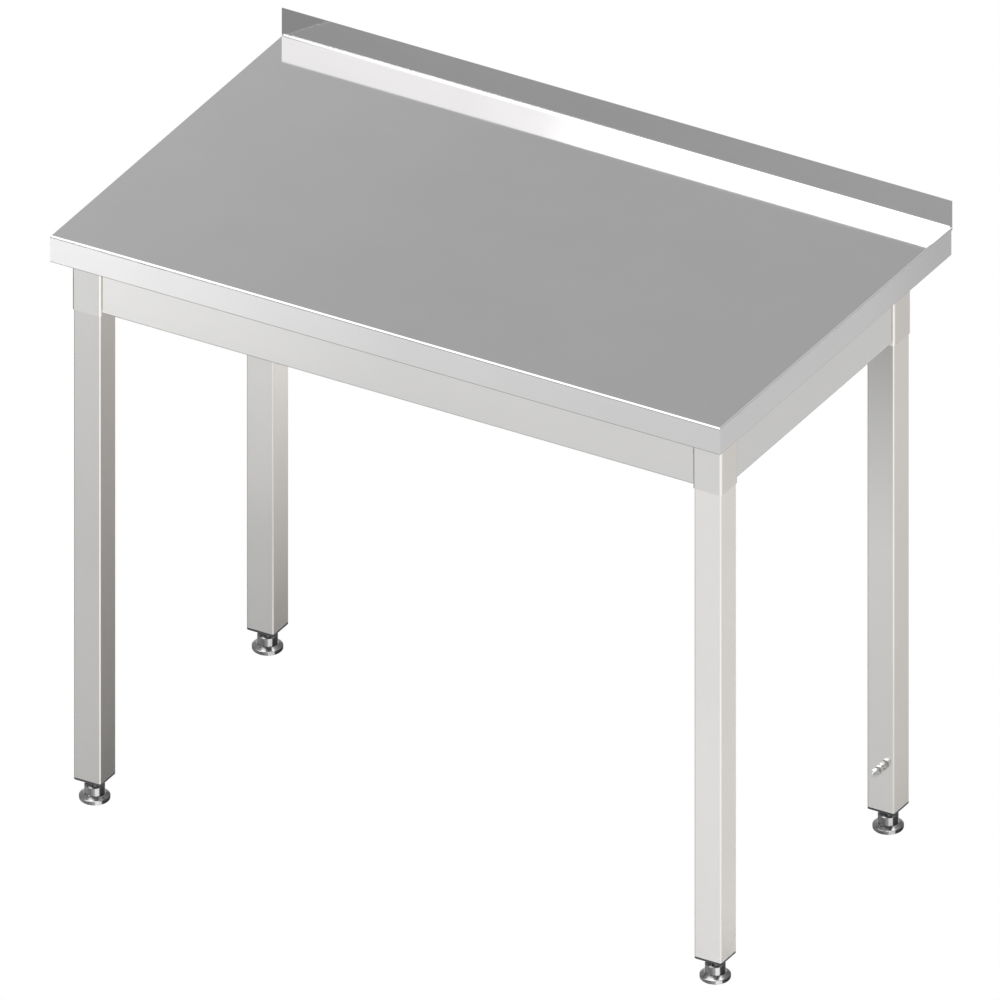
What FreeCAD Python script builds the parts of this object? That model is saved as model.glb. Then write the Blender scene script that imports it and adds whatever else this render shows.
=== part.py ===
import FreeCAD, Part
import os
import re
import Sketcher

# Stainless work table: a folded worktop sheet over a core board, three hat stiffeners, a frame of
# channel aprons and corner sockets, four square legs and four screw-adjustable feet.
# Frame: X to the right, Y to the back, Z up; origin on the floor under the middle of the worktop.

SIZES = (
    ("table_length", 1000, "overall length, left to right"),
    ("table_depth", 600, "overall depth, front to back"),
    ("table_height", 855, "floor to worktop, with the feet let down a little"),
    ("upstand_height", 40, "rear upstand above the worktop"),
    ("skirt_height", 40, "turned-down edge of the worktop"),
    ("sheet_thickness", 1.2, "worktop sheet"),
    ("top_bend_radius", 3.2, "outside radius of the top edge"),
    ("lip_width", 12, "return lip under the skirt"),
    ("lip_bend_radius", 1.8, "outside radius of the skirt's lower edge"),
    ("rear_corner_radius", 3.5, "rear upright corners of the skirt"),
    ("upstand_bend_radius", 3, "inside radius between worktop and upstand"),
    ("board_thickness", 18, "core board"),
    ("board_gap", 2.4, "core board to skirt"),
    ("hat_height", 20, "stiffener, brim to crown"),
    ("hat_crown", 40, "stiffener crown width"),
    ("hat_brim", 15, "stiffener brim width, each side"),
    ("hat_thickness", 1.2, "stiffener sheet"),
    ("hat_end_gap", 6, "stiffener end past the apron flange"),
    ("hat_socket_gap", 11.5, "outer stiffener brim to corner socket"),
    ("leg_size", 40, "square leg tube"),
    ("leg_wall", 1.5, "leg tube wall"),
    ("leg_corner_radius", 2, "leg tube outside corner"),
    ("leg_bore_radius", 0.6, "leg tube inside corner"),
    ("leg_side_inset", 17, "worktop side to leg"),
    ("leg_front_inset", 31.2, "worktop front to front leg"),
    ("leg_rear_inset", 82, "worktop rear to rear leg"),
    ("leg_gap", 0.1, "leg to corner socket, each side"),
    ("socket_wall", 1.4, "corner socket wall"),
    ("socket_height", 81, "corner socket"),
    ("socket_roof", 3, "plate that closes the socket's top"),
    ("apron_height", 77, "apron channel"),
    ("apron_thickness", 1.5, "apron sheet"),
    ("apron_flange", 25, "apron flange"),
    ("apron_recess", 3, "socket face to apron face"),
    ("apron_bend_radius", 2, "apron outside bend"),
    ("plug_flange", 4, "leg plug under the tube"),
    ("plug_bevel", 1.2, "bevel round the plug's lower edge"),
    ("plug_spigot", 28, "leg plug inside the tube"),
    ("plug_gap", 0.1, "plug spigot to tube, each side"),
    ("plug_bore_gap", 0.4, "plug bore to spindle"),
    ("plug_nut_width", 17, "captive nut across flats"),
    ("plug_nut_height", 8, "captive nut"),
    ("spindle_diameter", 10, "foot spindle thread"),
    ("spindle_length", 50, "foot spindle above the neck"),
    ("spindle_gap", 0.06, "spindle to captive nut"),
    ("spindle_chamfer", 1, "chamfer on the spindle's tip"),
    ("foot_drop", 8.5, "spindle showing between neck and plug"),
    ("neck_diameter", 27, "foot neck"),
    ("neck_height", 11.4, "foot neck, straight part"),
    ("neck_bevel", 1.9, "bevel on the neck's top"),
    ("neck_float", 0.3, "neck over foot base"),
    ("pin_diameter", 12, "pin under the neck, in the foot base"),
    ("pin_gap", 0.05, "pin to foot base bore"),
    ("base_diameter", 41, "foot base"),
    ("base_height", 10.2, "foot base, floor to shoulder"),
    ("base_rim_height", 6.4, "foot base rim"),
    ("base_shoulder_diameter", 29, "flat under the neck"),
    ("base_edge_radius", 2.8, "foot base lower edge"),
    ("base_rim_radius", 1.2, "foot base upper rim"),
    ("base_floor", 3, "metal under the pin"),
    ("ring_width", 1.2, "snap ring section"),
    ("ring_play", 0.15, "snap ring to its grooves"),
    ("ring_level", 4, "snap ring above the base's floor"),
    ("clamp_diameter", 8, "clamp screw"),
    ("clamp_length", 16, "clamp screw under the head"),
    ("clamp_width", 13, "clamp screw and nut across flats"),
    ("clamp_head", 5.3, "clamp screw head"),
    ("clamp_nut", 6.5, "weld nut"),
    ("bolt_diameter", 6, "stiffener bolt and bonding stud"),
    ("bolt_length", 13, "stiffener bolt under the head"),
    ("bolt_width", 10, "across flats of the 6 mm head and nut"),
    ("bolt_head", 4, "stiffener bolt head"),
    ("bolt_nut", 5, "6 mm nut"),
    ("washer_diameter", 12, "6 mm washer"),
    ("washer_thickness", 1.6, "6 mm washer"),
    ("hole_gap", 0.3, "clearance hole, radial"),
    ("thread_gap", 0.05, "screw in its nut, radial"),
    ("wood_screw_diameter", 4, "board screw"),
    ("wood_screw_length", 14, "board screw under the head"),
    ("wood_screw_head_diameter", 8, "board screw head"),
    ("wood_screw_head_height", 2.4, "board screw head"),
    ("wood_screw_end_gap", 40, "stiffener end to its first board screw"),
    ("stud_level", 99, "bonding stud above the floor"),
    ("stud_length", 23, "bonding stud out of the leg"),
    ("stud_foot_diameter", 9, "weld foot of the bonding stud"),
    ("stud_foot_height", 1, "weld foot of the bonding stud"),
    ("stud_lug_gap", 4, "room for a cable lug on the bonding stud"),
)

# Lengths that follow from the sizes.
FOLLOWS = {
    "skirt_bottom": "table_height - skirt_height",
    "board_bottom": "table_height - sheet_thickness - board_thickness",
    "frame_top": "board_bottom - hat_height",
    "socket_bottom": "frame_top - socket_height",
    "apron_bottom": "frame_top - apron_height",
    "leg_x": "table_length / 2 - leg_side_inset - leg_size / 2",
    "front_leg_y": "leg_front_inset + leg_size / 2 - table_depth / 2",
    "rear_leg_y": "table_depth / 2 - leg_rear_inset - leg_size / 2",
    "socket_half": "leg_size / 2 + leg_gap + socket_wall",
    "apron_x": "leg_x + socket_half - apron_recess",
    "front_apron_y": "front_leg_y - socket_half + apron_recess",
    "rear_apron_y": "rear_leg_y + socket_half - apron_recess",
    "neck_bottom": "base_height + neck_float",
    "neck_top": "neck_bottom + neck_height + neck_bevel",
    "plug_bottom": "neck_top + foot_drop",
    "leg_bottom": "plug_bottom + plug_flange",
    "leg_top": "frame_top - socket_roof",
    "spigot_half": "leg_size / 2 - leg_wall - plug_gap",
    "hat_x": "leg_x - socket_half - hat_socket_gap - hat_brim - hat_crown / 2",
    "hat_front": "front_apron_y + hat_end_gap",
    "hat_back": "rear_apron_y - hat_end_gap",
    "hat_length": "hat_back - hat_front",
    "brim_middle": "hat_crown / 2 + hat_brim / 2",
    "clamp_level": "frame_top - socket_height / 2",
    "wood_screw_span": "hat_length / 2 - wood_screw_end_gap",
}

CORNERS = (
    ("front_left", -1, "front_leg_y", -1),
    ("front_right", 1, "front_leg_y", -1),
    ("rear_left", -1, "rear_leg_y", 1),
    ("rear_right", 1, "rear_leg_y", 1),
)
HATS = (("left", -1), ("middle", 0), ("right", 1))
Z_AXIS = (0, 0, 1)
COS30 = "cos(30 deg)"
TOUCH = 1e-4  # mm within which two coordinates count as the same

doc = FreeCAD.newDocument("work_table")
sheet = doc.addObject("Spreadsheet::Sheet", "Sizes")
for row, (alias, value, meaning) in enumerate(SIZES, start=1):
    sheet.set(f"A{row}", alias)
    sheet.set(f"B{row}", str(value))
    sheet.set(f"C{row}", meaning)
    sheet.setAlias(f"B{row}", alias)
doc.recompute()

ALIASES = {alias for alias, value, meaning in SIZES}
nodes = []


def bound(text):
    """Write out a formula of size names as an expression on the sheet's cells."""
    def swap(match):
        word = match.group(0)
        if word in FOLLOWS:
            return "(" + bound(FOLLOWS[word]) + ")"
        if word in ALIASES:
            return "Sizes." + word
        return word
    return re.sub(r"[a-z_]+[a-z0-9_]*", swap, text)


def number(text):
    """Work out a formula of size names as a plain number."""
    return float(sheet.evalExpression(bound(text)))


def bind(thing, **formulas):
    """Bind properties to formulas; a double underscore stands for the dot of a nested property."""
    for name, text in formulas.items():
        thing.setExpression(name.replace("__", "."), bound(str(text)))


def place(thing, x="0", y="0", z="0", axis=None, angle=0):
    """Turn a thing about an axis and bind the three coordinates of its placement."""
    if axis:
        thing.Placement = FreeCAD.Placement(FreeCAD.Vector(), FreeCAD.Rotation(FreeCAD.Vector(*axis), angle))
    bind(thing, Placement__Base__x=x, Placement__Base__y=y, Placement__Base__z=z)
    return thing


def keep(thing, label):
    """Name a finished sub-part."""
    thing.Label = label
    nodes.append(thing)
    return thing


def new_body(label):
    return keep(doc.addObject("PartDesign::Body", label), label)


def new_sketch(body, role, offset="0"):
    """Sketch on one of the body's own origin planes, moved along the plane's normal."""
    sketch = body.newObject("Sketcher::SketchObject", "outline")
    support = [plane for plane in body.Origin.OriginFeatures if plane.Role == role][0]
    sketch.AttachmentSupport = (support, [""])
    sketch.MapMode = "FlatFace"
    bind(sketch, AttachmentOffset__Base__z=offset)
    return sketch


def pin_point(sketch, edge, point, across, up):
    """Bind a point of an edge to formulas (across, up) measured from the sketch's origin."""
    for kind, text in (("DistanceX", across), ("DistanceY", up)):
        name = f"{kind}{edge}"
        sketch.addConstraint(Sketcher.Constraint(kind, -1, 1, edge, point, number(text)))
        sketch.renameConstraint(sketch.ConstraintCount - 1, name)
        sketch.setExpression("Constraints." + name, bound(text))


def outline(sketch, points, hollow=None):
    """Closed outline through corners given as formulas; with hollow, the last edge is a quarter circle
    that bulges into the outline, about the centre that hollow gives."""
    first = sketch.GeometryCount
    corners = [FreeCAD.Vector(number(across), number(up), 0) for across, up in points]
    ends = []
    for here, there in zip(corners, corners[1:] + corners[:1]):
        edge, starts, stops = first + len(ends), 1, 2
        if hollow and len(ends) == len(points) - 1:
            centre = FreeCAD.Vector(number(hollow[0]), number(hollow[1]), 0)
            circle = Part.Circle(centre, FreeCAD.Vector(0, 0, 1), centre.distanceToPoint(here))
            arc = Part.ArcOfCircle(circle, circle.parameter(there), circle.parameter(here))
            sketch.addGeometry(arc, False)
            starts, stops = 2, 1
        else:
            sketch.addGeometry(Part.LineSegment(here, there), False)
        ends.append((edge, starts, stops))
    for (edge, starts, stops), (after, its_start, its_stop) in zip(ends, ends[1:] + ends[:1]):
        sketch.addConstraint(Sketcher.Constraint("Coincident", edge, stops, after, its_start))
    for (edge, starts, stops), (across, up) in zip(ends, points):
        pin_point(sketch, edge, starts, across, up)
    if hollow:
        sketch.addConstraint(Sketcher.Constraint("Vertical", ends[-1][0], 3, ends[0][0], 1))


def rectangle(sketch, left, right, low, high):
    outline(sketch, [(left, low), (right, low), (right, high), (left, high)])


def disc(sketch, across, up, radius):
    """Circle whose centre and radius are formulas."""
    centre = FreeCAD.Vector(number(across), number(up), 0)
    edge = sketch.addGeometry(Part.Circle(centre, FreeCAD.Vector(0, 0, 1), number(radius)), False)
    pin_point(sketch, edge, 3, across, up)
    sketch.addConstraint(Sketcher.Constraint("Radius", edge, number(radius)))
    sketch.renameConstraint(sketch.ConstraintCount - 1, f"radius{edge}")
    sketch.setExpression(f"Constraints.radius{edge}", bound(radius))


def pad(body, sketch, length, reverse=False):
    """Pad a sketch by a formula's length, away from or against its plane's normal."""
    feature = body.newObject("PartDesign::Pad", "pad")
    feature.Profile = sketch
    feature.Reversed = reverse
    bind(feature, Length=length)
    body.Tip = feature
    doc.recompute()
    return feature


def pocket(body, sketch, length, reverse=False):
    """Cut a sketch by a formula's length and confirm that it took material away."""
    before = body.Shape.Volume
    feature = body.newObject("PartDesign::Pocket", "pocket")
    feature.Profile = sketch
    feature.Reversed = reverse
    bind(feature, Length=length)
    body.Tip = feature
    doc.recompute()
    if not body.Shape.Volume < before:
        raise RuntimeError(body.Label + ": a pocket cuts nothing")
    return feature


def revolve(body, sketch):
    """Turn a half outline on the XZ plane about the body's Z axis."""
    feature = body.newObject("PartDesign::Revolution", "turned")
    feature.Profile = sketch
    feature.ReferenceAxis = (sketch, ["V_Axis"])
    feature.Angle = 360
    body.Tip = feature
    doc.recompute()
    return feature


def dress(body, kind, picked, **formulas):
    """Fillet or chamfer the edges of the body's tip that a test picks."""
    base = body.Tip
    names = [f"Edge{i}" for i, edge in enumerate(base.Shape.Edges, start=1) if picked(edge)]
    if not names:
        raise RuntimeError(body.Label + ": no edge to dress")
    feature = body.newObject("PartDesign::" + kind, kind.lower())
    feature.Base = (base, names)
    bind(feature, **formulas)
    body.Tip = feature
    doc.recompute()
    return feature


def near(one, other):
    return abs(one - other) < TOUCH


def along(edge, letter):
    """True for a straight edge parallel to an axis."""
    box = edge.BoundBox
    spans = {"x": box.XLength, "y": box.YLength, "z": box.ZLength}
    return all((span > TOUCH) == (name == letter) for name, span in spans.items())


def cylinder(diameter, height, name="round"):
    thing = doc.addObject("Part::Cylinder", name)
    bind(thing, Radius=f"({diameter}) / 2", Height=height)
    return thing


def hexagon(width, height, name="hexagon"):
    thing = doc.addObject("Part::Prism", name)
    thing.Polygon = 6
    bind(thing, Circumradius=f"({width}) / 2 / {COS30}", Height=height)
    return thing


def fused(first, second, name="joined"):
    thing = doc.addObject("Part::Fuse", name)
    thing.Base = first
    thing.Tool = second
    return thing


def cut(first, second, name="drilled"):
    thing = doc.addObject("Part::Cut", name)
    thing.Base = first
    thing.Tool = second
    return thing


def group(things, name="group"):
    thing = doc.addObject("Part::Compound", name)
    thing.Links = things
    return thing


def headed(diameter, length, head, head_height, name):
    """Screw along +Z from the underside of its head, which lies below zero."""
    bind(head, Placement__Base__z=f"-({head_height})")
    return fused(cylinder(diameter, length, name + "_shank"), head, name)


def hex_screw(diameter, length, width, head_height, name):
    return headed(diameter, length, hexagon(width, head_height, name + "_head"), head_height, name)


def nut(width, height, diameter, name):
    return cut(hexagon(width, height, name + "_blank"), cylinder(diameter, height, name + "_bore"), name)


# ---------------------------------------------------------------- worktop

def make_worktop_sheet():
    """Tray with turned-down skirts and return lips, and the upstand folded up at its rear edge."""
    body = new_body("worktop_sheet")
    half_x, half_y = "table_length / 2", "table_depth / 2"
    block = new_sketch(body, "XY_Plane", "skirt_bottom")
    rectangle(block, f"-{half_x}", half_x, f"-{half_y}", half_y)
    pad(body, block, "skirt_height - top_bend_radius")
    top, rear = number("table_height"), number(half_y)
    dress(body, "Fillet", lambda e: along(e, "z") and near(e.BoundBox.YMax, rear),
          Radius="rear_corner_radius")
    crown = new_sketch(body, "XY_Plane", "table_height - top_bend_radius")
    rectangle(crown, f"-{half_x}", half_x, f"-{half_y}", half_y)
    pad(body, crown, "top_bend_radius")
    dress(body, "Fillet", lambda e: near(e.BoundBox.ZMin, top) and
          ((along(e, "x") and e.BoundBox.YMax < 0) or along(e, "y")), Radius="top_bend_radius")
    low = number("skirt_bottom")
    dress(body, "Fillet", lambda e: near(e.BoundBox.ZMax, low), Radius="lip_bend_radius")
    inner_x, inner_y = f"({half_x} - sheet_thickness)", f"({half_y} - sheet_thickness)"
    cavity = new_sketch(body, "XY_Plane", "skirt_bottom + sheet_thickness")
    rectangle(cavity, f"-{inner_x}", inner_x, f"-{inner_y}", inner_y)
    pocket(body, cavity, "skirt_height - 2 * sheet_thickness", reverse=True)
    mouth = new_sketch(body, "XY_Plane", "skirt_bottom")
    rectangle(mouth, f"lip_width - {half_x}", f"{half_x} - lip_width",
              f"lip_width - {half_y}", f"{half_y} - lip_width")
    pocket(body, mouth, "2 * sheet_thickness", reverse=True)
    back, ceiling, side = number(inner_y), top - number("sheet_thickness"), number(inner_x)
    dress(body, "Fillet", lambda e: along(e, "z") and near(e.BoundBox.YMax, back)
          and near(abs(e.BoundBox.XMax), side), Radius="rear_corner_radius - sheet_thickness")
    dress(body, "Fillet", lambda e: near(e.BoundBox.ZMin, ceiling) and near(e.BoundBox.ZMax, ceiling) and
          ((along(e, "x") and e.BoundBox.YMax < 0) or (along(e, "y") and near(abs(e.BoundBox.XMax), side))),
          Radius="top_bend_radius - sheet_thickness")
    leaf = new_sketch(body, "YZ_Plane", f"-{half_x}")
    rectangle(leaf, f"{half_y} - sheet_thickness", half_y,
              "table_height - top_bend_radius", "table_height + upstand_height")
    pad(body, leaf, "table_length")
    foot = f"{half_y} - sheet_thickness"
    start = f"{foot} - upstand_bend_radius"
    deep = f"{half_y} - sheet_thickness / 2"
    rise = "table_height + upstand_bend_radius"
    buried = "table_height - sheet_thickness / 2"
    bend = new_sketch(body, "YZ_Plane", f"top_bend_radius - {half_x}")
    outline(bend, [(start, "table_height"), (start, buried), (deep, buried), (deep, rise), (foot, rise)],
            hollow=(start, rise))
    pad(body, bend, "table_length - 2 * top_bend_radius")
    return body


def make_core_board(drills):
    """Laminated board inside the tray, with pilot holes for the stiffener screws."""
    body = doc.addObject("PartDesign::Body", "board_blank")
    half_x = "(table_length / 2 - sheet_thickness - board_gap)"
    half_y = "(table_depth / 2 - sheet_thickness - board_gap)"
    plan = new_sketch(body, "XY_Plane", "board_bottom")
    rectangle(plan, f"-{half_x}", half_x, f"-{half_y}", half_y)
    pad(body, plan, "board_thickness")
    keep(cut(body, group(drills, "board_drills"), "board"), "core_board")


def make_stiffener(side, sign, drills):
    """Hat channel from the front apron to the rear one: brims under the board, crown on the aprons."""
    body = doc.addObject("PartDesign::Body", "hat_blank")
    profile = new_sketch(body, "XZ_Plane")
    crown, brim = "hat_crown / 2", "(hat_crown / 2 + hat_brim)"
    wall, high = "hat_thickness", "hat_height"
    outline(profile, [
        (f"-{crown}", "0"), (crown, "0"), (crown, f"{high} - {wall}"), (brim, f"{high} - {wall}"),
        (brim, high), (f"{crown} - {wall}", high), (f"{crown} - {wall}", wall),
        (f"{wall} - {crown}", wall), (f"{wall} - {crown}", high), (f"-{brim}", high),
        (f"-{brim}", f"{high} - {wall}"), (f"-{crown}", f"{high} - {wall}")])
    pad(body, profile, "hat_length", reverse=True)
    dress(body, "Fillet", lambda e: along(e, "y") and near(e.BoundBox.ZMax, 0), Radius="hat_thickness")
    place(body, f"{sign} * hat_x", "hat_front", "frame_top")
    keep(cut(body, group(drills, side + "_hat_drills"), "hat_" + side), "stiffener_" + side)


# ---------------------------------------------------------------- frame

def make_apron(label, length, drills=None):
    """Channel lying along X from the origin, web on the XZ plane, flanges towards +Y."""
    body = doc.addObject("PartDesign::Body", label + "_blank") if drills else new_body(label)
    profile = new_sketch(body, "YZ_Plane")
    deep, high, wall = "apron_flange", "apron_height", "apron_thickness"
    outline(profile, [("0", "0"), (deep, "0"), (deep, wall), (wall, wall), (wall, f"{high} - {wall}"),
                      (deep, f"{high} - {wall}"), (deep, high), ("0", high)])
    pad(body, profile, length)
    dress(body, "Fillet", lambda e: along(e, "x") and near(e.BoundBox.YMax, 0), Radius="apron_bend_radius")
    return body


def make_aprons(bolt_drills):
    """Front and rear aprons take the stiffener bolts; side aprons join the front and rear sockets."""
    inner = "(leg_x - socket_half)"
    front_drills, rear_drills = bolt_drills
    front = make_apron("front_apron", f"2 * {inner}", front_drills)
    place(front, f"-{inner}", "front_apron_y", "apron_bottom")
    rear = make_apron("rear_apron", f"2 * {inner}", rear_drills)
    place(rear, inner, "rear_apron_y", "apron_bottom", Z_AXIS, 180)
    keep(cut(front, group(front_drills, "front_drills"), "front"), "front_apron")
    keep(cut(rear, group(rear_drills, "rear_drills"), "rear"), "rear_apron")
    low, high = "(front_leg_y + socket_half)", "(rear_leg_y - socket_half)"
    left = make_apron("left_apron", f"{high} - {low}")
    place(left, "-apron_x", high, "apron_bottom", Z_AXIS, -90)
    right = make_apron("right_apron", f"{high} - {low}")
    place(right, "apron_x", low, "apron_bottom", Z_AXIS, 90)


def square_tube(body, half, wall, height, outer_radius, inner_radius, level="0"):
    """Square tube along Z with rounded outer and inner corners."""
    section = new_sketch(body, "XY_Plane", level)
    rectangle(section, f"-({half})", half, f"-({half})", half)
    pad(body, section, height)
    reach = number(half)
    dress(body, "Fillet", lambda e: along(e, "z") and near(abs(e.BoundBox.XMax), reach), Radius=outer_radius)
    hollow = new_sketch(body, "XY_Plane", level)
    rectangle(hollow, f"{wall} - ({half})", f"{half} - {wall}", f"{wall} - ({half})", f"{half} - {wall}")
    pocket(body, hollow, height, reverse=True)
    inside = number(f"{half} - {wall}")
    dress(body, "Fillet", lambda e: along(e, "z") and near(abs(e.BoundBox.XMax), inside), Radius=inner_radius)


def make_socket(name, sign_x, leg_y, sign_y, drills):
    """Corner socket: a sleeve over the leg's top with a roof plate, drilled for its clamp screws."""
    body = doc.addObject("PartDesign::Body", name + "_socket_blank")
    square_tube(body, "socket_half", "socket_wall", "socket_height", "leg_corner_radius + socket_wall",
                "leg_corner_radius")
    roof = new_sketch(body, "XY_Plane", "socket_height - socket_roof")
    half = "(leg_size / 2 + leg_gap)"
    rectangle(roof, f"-{half} - socket_wall / 2", f"{half} + socket_wall / 2",
              f"-{half} - socket_wall / 2", f"{half} + socket_wall / 2")
    pad(body, roof, "socket_roof")
    place(body, f"{sign_x} * leg_x", leg_y, "socket_bottom")
    keep(cut(body, group(drills, name + "_drills"), name), "corner_socket_" + name)


def make_leg(name, sign_x, leg_y):
    body = new_body("leg_" + name)
    square_tube(body, "leg_size / 2", "leg_wall", "leg_top - leg_bottom", "leg_corner_radius",
                "leg_bore_radius")
    place(body, f"{sign_x} * leg_x", leg_y, "leg_bottom")


# ---------------------------------------------------------------- feet

def make_plug(name, sign_x, leg_y):
    """Plug in the leg's end: a flange under the tube, a spigot inside it, a bore and a nut seat."""
    body = new_body("leg_plug_" + name)
    flange = new_sketch(body, "XY_Plane")
    half = "leg_size / 2"
    rectangle(flange, f"-{half}", half, f"-{half}", half)
    pad(body, flange, "plug_flange")
    reach = number(half)
    dress(body, "Fillet", lambda e: along(e, "z") and near(abs(e.BoundBox.XMax), reach),
          Radius="leg_corner_radius")
    dress(body, "Chamfer", lambda e: near(e.BoundBox.ZMax, 0), Size="plug_bevel")
    spigot = new_sketch(body, "XY_Plane", "plug_flange")
    rectangle(spigot, "-spigot_half", "spigot_half", "-spigot_half", "spigot_half")
    pad(body, spigot, "plug_spigot")
    inside = number("spigot_half")
    dress(body, "Fillet", lambda e: along(e, "z") and near(abs(e.BoundBox.XMax), inside),
          Radius="leg_bore_radius + plug_gap")
    bore = new_sketch(body, "XY_Plane")
    disc(bore, "0", "0", "spindle_diameter / 2 + plug_bore_gap")
    pocket(body, bore, "plug_flange + plug_spigot", reverse=True)
    seat = new_sketch(body, "XY_Plane", "plug_flange + plug_spigot - plug_nut_height")
    disc(seat, "0", "0", f"plug_nut_width / 2 / {COS30} + plug_gap")
    pocket(body, seat, "plug_nut_height", reverse=True)
    place(body, f"{sign_x} * leg_x", leg_y, "plug_bottom")


def make_foot_base(name, sign_x, leg_y):
    """Turned base: flat underside, rounded rim, conical shoulder, and a grooved bore for the pin."""
    body = new_body("foot_base_" + name)
    half = new_sketch(body, "XZ_Plane")
    rim, bore = "base_diameter / 2", "(pin_diameter / 2 + pin_gap)"
    groove, low = "(pin_diameter / 2 + ring_width / 2 + ring_play)", "(base_floor + ring_level - ring_play)"
    high = "(base_floor + ring_level + ring_width + ring_play)"
    outline(half, [("0", "0"), (rim, "0"), (rim, "base_rim_height"),
                   ("base_shoulder_diameter / 2", "base_height"), (bore, "base_height"), (bore, high),
                   (groove, high), (groove, low), (bore, low), (bore, "base_floor"), ("0", "base_floor")])
    revolve(body, half)
    edge, top = number(rim), number("base_rim_height")
    dress(body, "Fillet", lambda e: near(e.BoundBox.XMax, edge) and near(e.BoundBox.ZMax, 0),
          Radius="base_edge_radius")
    dress(body, "Fillet", lambda e: near(e.BoundBox.XMax, edge) and near(e.BoundBox.ZMax, top)
          and near(e.BoundBox.ZMin, top), Radius="base_rim_radius")
    place(body, f"{sign_x} * leg_x", leg_y, "0")


def make_foot_spindle(name, sign_x, leg_y):
    """Turned spindle: a pin for the base below, the thick neck, and the screw thread above."""
    body = new_body("foot_spindle_" + name)
    half = new_sketch(body, "XZ_Plane")
    pin, neck, stem = "pin_diameter / 2", "neck_diameter / 2", "spindle_diameter / 2"
    waist = "(pin_diameter / 2 - ring_width / 2 - ring_play)"
    low = "(base_floor + ring_level - ring_play)"
    high = "(base_floor + ring_level + ring_width + ring_play)"
    tip = "(neck_top + spindle_length)"
    outline(half, [("0", "base_floor"), (pin, "base_floor"), (pin, low), (waist, low), (waist, high),
                   (pin, high), (pin, "neck_bottom"), (neck, "neck_bottom"),
                   (neck, "neck_top - neck_bevel"), (f"{neck} - neck_bevel", "neck_top"),
                   (stem, "neck_top"), (stem, f"{tip} - spindle_chamfer"),
                   (f"{stem} - spindle_chamfer", tip), ("0", tip)])
    revolve(body, half)
    place(body, f"{sign_x} * leg_x", leg_y, "0")


def make_snap_ring(name, sign_x, leg_y):
    """Ring that holds the pin in the base, half in each groove."""
    body = new_body("foot_ring_" + name)
    half = new_sketch(body, "XZ_Plane")
    low, high = "(base_floor + ring_level)", "(base_floor + ring_level + ring_width)"
    rectangle(half, "(pin_diameter - ring_width) / 2", "(pin_diameter + ring_width) / 2", low, high)
    revolve(body, half)
    place(body, f"{sign_x} * leg_x", leg_y, "0")


# ---------------------------------------------------------------- fasteners

# The turn that lays a thing's +Z axis along each signed axis.
OUT = {"x": {1: ((0, 1, 0), 90), -1: ((0, 1, 0), -90)}, "y": {1: ((1, 0, 0), -90), -1: ((1, 0, 0), 90)}}


def make_clamps():
    """Two clamp screws and weld nuts on each socket's inner faces; returns each socket's drills."""
    screws, nuts, drills = [], [], {}
    for name, sign_x, leg_y, sign_y in CORNERS:
        drills[name] = []
        for letter, sign in (("x", -sign_x), ("y", -sign_y)):
            turn = OUT[letter][-sign]
            away = {"x": f"{sign_x} * leg_x", "y": leg_y}
            seat, head, face = dict(away), dict(away), dict(away)
            seat[letter] += f" + {sign} * socket_half"
            head[letter] += f" + {sign} * (leg_size / 2 + clamp_length)"
            face[letter] += f" + {sign} * (socket_half + clamp_nut)"
            screw = hex_screw("clamp_diameter", "clamp_length", "clamp_width", "clamp_head", "clamp_screw")
            screws.append(place(screw, head["x"], head["y"], "clamp_level", *turn))
            ring = nut("clamp_width", "clamp_nut", "clamp_diameter + 2 * thread_gap", "clamp_nut")
            nuts.append(place(ring, face["x"], face["y"], "clamp_level", *turn))
            drill = cylinder("clamp_diameter + 2 * hole_gap", "2 * socket_wall", "clamp_drill")
            face[letter] = away[letter] + f" + {sign} * (socket_half + socket_wall / 2)"
            drills[name].append(place(drill, face["x"], face["y"], "clamp_level", *turn))
    keep(group(screws), "clamp_screws")
    keep(group(nuts), "clamp_nuts")
    return drills


def make_stiffener_bolts():
    """Bolts up through the apron flanges and stiffener crowns, with their washers and nuts."""
    bolts, washers, nuts = [], [], []
    hat_drills = {side: [] for side, sign in HATS}
    apron_drills = ([], [])
    rows = (("front_apron_y + apron_flange / 2", 0), ("rear_apron_y - apron_flange / 2", 1))
    under, over = "(frame_top - apron_thickness)", "(frame_top + hat_thickness)"
    hole = "bolt_diameter + 2 * hole_gap"
    for side, sign in HATS:
        for y, row in rows:
            x = f"{sign} * hat_x"
            bolt = hex_screw("bolt_diameter", "bolt_length", "bolt_width", "bolt_head", "bolt")
            bolts.append(place(bolt, x, y, f"{under} - washer_thickness"))
            washer = cut(cylinder("washer_diameter", "washer_thickness"), cylinder(hole, "washer_thickness"))
            washers.append(place(washer, x, y, f"{under} - washer_thickness"))
            ring = nut("bolt_width", "bolt_nut", "bolt_diameter + 2 * thread_gap", "bolt_nut")
            nuts.append(place(ring, x, y, over))
            for drills in (hat_drills[side], apron_drills[row]):
                drill = cylinder(hole, "3 * apron_thickness + 3 * hat_thickness", "bolt_drill")
                drills.append(place(drill, x, y, f"{under} - apron_thickness"))
    keep(group(bolts), "stiffener_bolts")
    keep(group(washers), "stiffener_washers")
    keep(group(nuts), "stiffener_nuts")
    return hat_drills, apron_drills


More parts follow.
